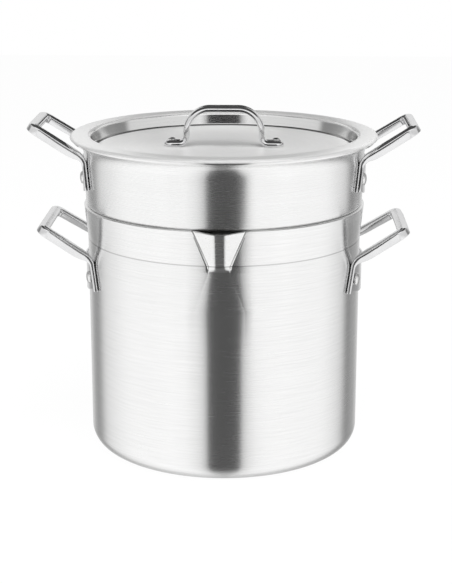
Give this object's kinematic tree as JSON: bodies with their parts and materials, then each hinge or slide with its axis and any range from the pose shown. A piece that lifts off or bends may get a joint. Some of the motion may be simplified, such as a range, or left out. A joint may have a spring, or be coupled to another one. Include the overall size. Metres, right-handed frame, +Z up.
{
  "type": "bain-marie pot",
  "caption": "Round aluminium double boiler: a water pot with a pouring lip and loop handles, a rimmed insert with its own loop handles, and a recessed lid with a strap handle.",
  "frame": {"origin": "centre of the water pot's base, where it stands on the hob", "axes": "+Z up the pot's axis, +X towards one pair of handles, -Y towards the pouring lip"},
  "size_m": [0.3368, 0.268, 0.3033],
  "materials": {
    "lower_pot": "satin, brushed round the wall",
    "lower_handle_left": "bright plated stamped steel",
    "lower_handle_right": "bright plated stamped steel",
    "lower_rivet_left_front": "satin, drawn and headed",
    "lower_rivet_left_back": "satin, drawn and headed",
    "lower_rivet_right_front": "satin, drawn and headed",
    "lower_rivet_right_back": "satin, drawn and headed",
    "insert_pot": "satin, brushed round the wall",
    "insert_handle_left": "bright plated stamped steel",
    "insert_handle_right": "bright plated stamped steel",
    "insert_rivet_left_front": "satin, drawn and headed",
    "insert_rivet_left_back": "satin, drawn and headed",
    "insert_rivet_right_front": "satin, drawn and headed",
    "insert_rivet_right_back": "satin, drawn and headed",
    "lid": "spun satin, fine concentric lines",
    "lid_handle": "bright plated stamped steel",
    "lid_rivet_left": "satin, drawn and headed",
    "lid_rivet_right": "satin, drawn and headed"
  },
  "bodies": {
    "water_pot": {"lower_pot": "lower_pot", "lower_handle_left": "lower_handle_left", "lower_handle_right": "lower_handle_right", "lower_rivet_left_front": "lower_rivet_left_front", "lower_rivet_left_back": "lower_rivet_left_back", "lower_rivet_right_front": "lower_rivet_right_front", "lower_rivet_right_back": "lower_rivet_right_back"},
    "insert": {"insert_pot": "insert_pot", "insert_handle_left": "insert_handle_left", "insert_handle_right": "insert_handle_right", "insert_rivet_left_front": "insert_rivet_left_front", "insert_rivet_left_back": "insert_rivet_left_back", "insert_rivet_right_front": "insert_rivet_right_front", "insert_rivet_right_back": "insert_rivet_right_back"},
    "lid": {"lid": "lid", "lid_handle": "lid_handle", "lid_rivet_left": "lid_rivet_left", "lid_rivet_right": "lid_rivet_right"}
  },
  "joints": [
    {"name": "insert_lift", "type": "slide", "parent": "water_pot", "child": "insert", "axis": [0, 0, 1], "range_m": [0, 0.16]},
    {"name": "lid_lift", "type": "slide", "parent": "insert", "child": "lid", "axis": [0, 0, 1], "range_m": [0, 0.12]}
  ]
}
